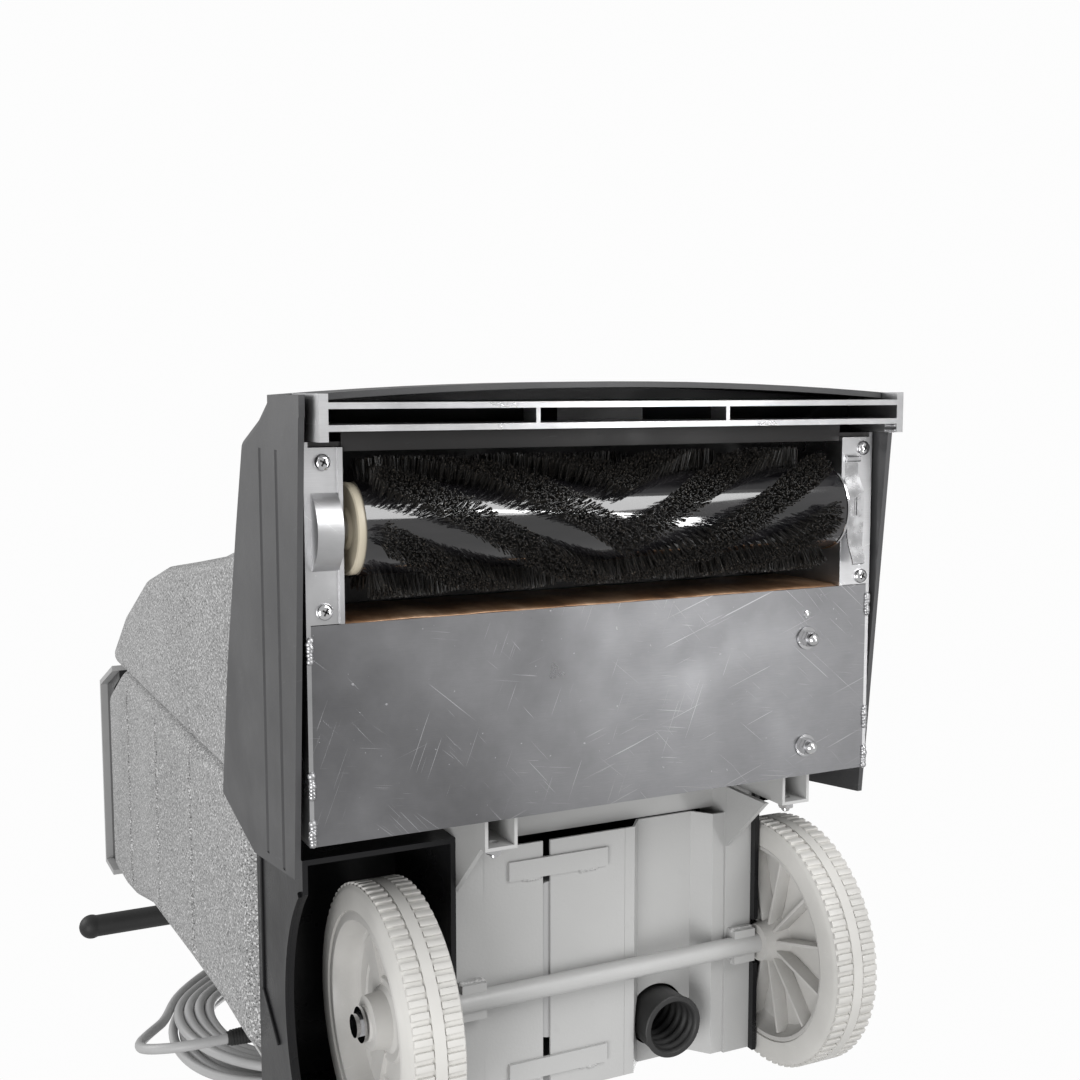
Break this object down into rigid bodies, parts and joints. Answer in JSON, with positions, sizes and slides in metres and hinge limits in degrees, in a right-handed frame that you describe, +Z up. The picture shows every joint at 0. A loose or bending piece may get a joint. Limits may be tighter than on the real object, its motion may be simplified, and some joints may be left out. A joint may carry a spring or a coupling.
{
  "type": "walk-behind carpet extractor",
  "caption": "Walk-behind carpet extractor with a vacuum shoe, cylindrical brush head, moulded tanks, steel wheeled chassis, handlebar and coiled cord.",
  "frame": {"origin": "middle of the footprint at floor level, measured without the cord", "axes": "+Z up, -Y towards the vacuum shoe at the front, +X to the right as seen from the front"},
  "size_m": [0.5308, 0.71, 0.99],
  "materials": {
    "granite": "speckled rotomoulded",
    "hood_plastic": "fine grained",
    "black_plastic": "gloss",
    "grey_plastic": "satin moulded",
    "tyre_rubber": "ribbed",
    "frame_paint": "powder coat",
    "alu": "scratched mill finish",
    "steel": "plated",
    "spring_steel": "brushed",
    "bristle": "nylon bristle",
    "core_plastic": "gloss",
    "rubber": "matt",
    "cord_rubber": "smooth",
    "clear": "clear moulding",
    "motor_metal": "satin"
  },
  "bodies": {
    "chassis": {"axle": "frame_paint", "axle_caps": "steel", "base_shell": "black_plastic", "bearing_plates": "alu", "brush_motor": "motor_metal", "chassis_brackets": "frame_paint", "chassis_rails": "frame_paint", "console_body": "black_plastic", "console_cover": "grey_plastic", "cord_coil": "cord_rubber", "cord_hook_mounts": "black_plastic", "cord_plug": "rubber", "drive_belt": "rubber", "floor_panels": "frame_paint", "front_hood": "hood_plastic", "guard_flanges": "alu", "handle_bar": "steel", "handle_brackets": "frame_paint", "handle_grips": "rubber", "head_fixings": "steel", "head_pan": "alu", "head_posts": "frame_paint", "head_top_plate": "alu", "head_walls": "alu", "hinge_pins": "steel", "hose_cuff": "black_plastic", "lid_gasket": "rubber", "lid_hinge_ears": "black_plastic", "power_cord": "cord_rubber", "pressure_gauge": "steel", "rear_panel": "frame_paint", "recess_panel": "frame_paint", "recovery_tank": "granite", "shoe_end_plates": "alu", "shoe_lips": "alu", "side_plates": "alu", "solution_tank": "granite", "spray_pump": "black_plastic", "strain_relief": "rubber", "vacuum_duct": "black_plastic", "vacuum_motor": "motor_metal", "wiring_box": "black_plastic"},
    "brush": {"brush_shaft": "steel", "brush_core": "core_plastic", "brush_bristles": "bristle", "brush_end_caps": "steel", "brush_pulley": "motor_metal"},
    "motor_rotor": {"motor_pulley": "motor_metal"},
    "left_wheel": {"left_wheel_disc": "grey_plastic", "left_tyre": "tyre_rubber"},
    "right_wheel": {"right_wheel_disc": "grey_plastic", "right_tyre": "tyre_rubber"},
    "latch": {"brush_latch": "spring_steel"},
    "lid": {"recovery_lid": "clear"},
    "cap": {"solution_cap": "black_plastic"},
    "vacuum_rocker": {"vacuum_switch": "black_plastic"},
    "brush_rocker": {"brush_switch": "black_plastic"},
    "pump_rocker": {"pump_switch": "black_plastic"},
    "lever": {"spray_lever": "black_plastic"},
    "hook": {"lower_cord_hook": "black_plastic"}
  },
  "joints": [
    {"name": "brush_spin", "type": "hinge", "parent": "chassis", "child": "brush", "pos_m": [0, -0.258, 0.05], "axis": [1, 0, 0], "continuous": true},
    {"name": "motor_spin", "type": "hinge", "parent": "chassis", "child": "motor_rotor", "pos_m": [-0.2, -0.112, 0.168], "axis": [1, 0, 0], "continuous": true},
    {"name": "left_wheel_spin", "type": "hinge", "parent": "chassis", "child": "left_wheel", "pos_m": [-0.131, 0.11, 0.1016], "axis": [1, 0, 0], "continuous": true},
    {"name": "right_wheel_spin", "type": "hinge", "parent": "chassis", "child": "right_wheel", "pos_m": [0.207, 0.11, 0.1016], "axis": [1, 0, 0], "continuous": true},
    {"name": "latch_swing", "type": "hinge", "parent": "chassis", "child": "latch", "pos_m": [0.208, -0.296, 0.0328], "axis": [1, 0, 0], "range_deg": [-25, 0]},
    {"name": "lid_hinge", "type": "hinge", "parent": "chassis", "child": "lid", "pos_m": [0, -0.05874, 0.83127], "axis": [1, 0, 0], "range_deg": [-110, 0]},
    {"name": "cap_turn", "type": "hinge", "parent": "chassis", "child": "cap", "pos_m": [0.12, 0.15, 0.935], "axis": [0, 0, 1], "range_deg": [0, 120]},
    {"name": "vacuum_switch_rock", "type": "hinge", "parent": "chassis", "child": "vacuum_rocker", "pos_m": [-0.06, 0.19, 0.92], "axis": [1, 0, 0], "range_deg": [-7, 7]},
    {"name": "brush_switch_rock", "type": "hinge", "parent": "chassis", "child": "brush_rocker", "pos_m": [0, 0.19, 0.92], "axis": [1, 0, 0], "range_deg": [-7, 7]},
    {"name": "pump_switch_rock", "type": "hinge", "parent": "chassis", "child": "pump_rocker", "pos_m": [0.06, 0.19, 0.92], "axis": [1, 0, 0], "range_deg": [-7, 7]},
    {"name": "lever_squeeze", "type": "hinge", "parent": "chassis", "child": "lever", "pos_m": [0, 0.317, 0.95], "axis": [1, 0, 0], "range_deg": [0, 20]},
    {"name": "hook_swivel", "type": "hinge", "parent": "chassis", "child": "hook", "pos_m": [-0.015, 0.25, 0.395], "axis": [0, 1, 0], "range_deg": [0, 180]}
  ],
  "couplings": [
    {"joint": "motor_spin", "follows": "brush_spin", "ratio": 1.5714}
  ]
}
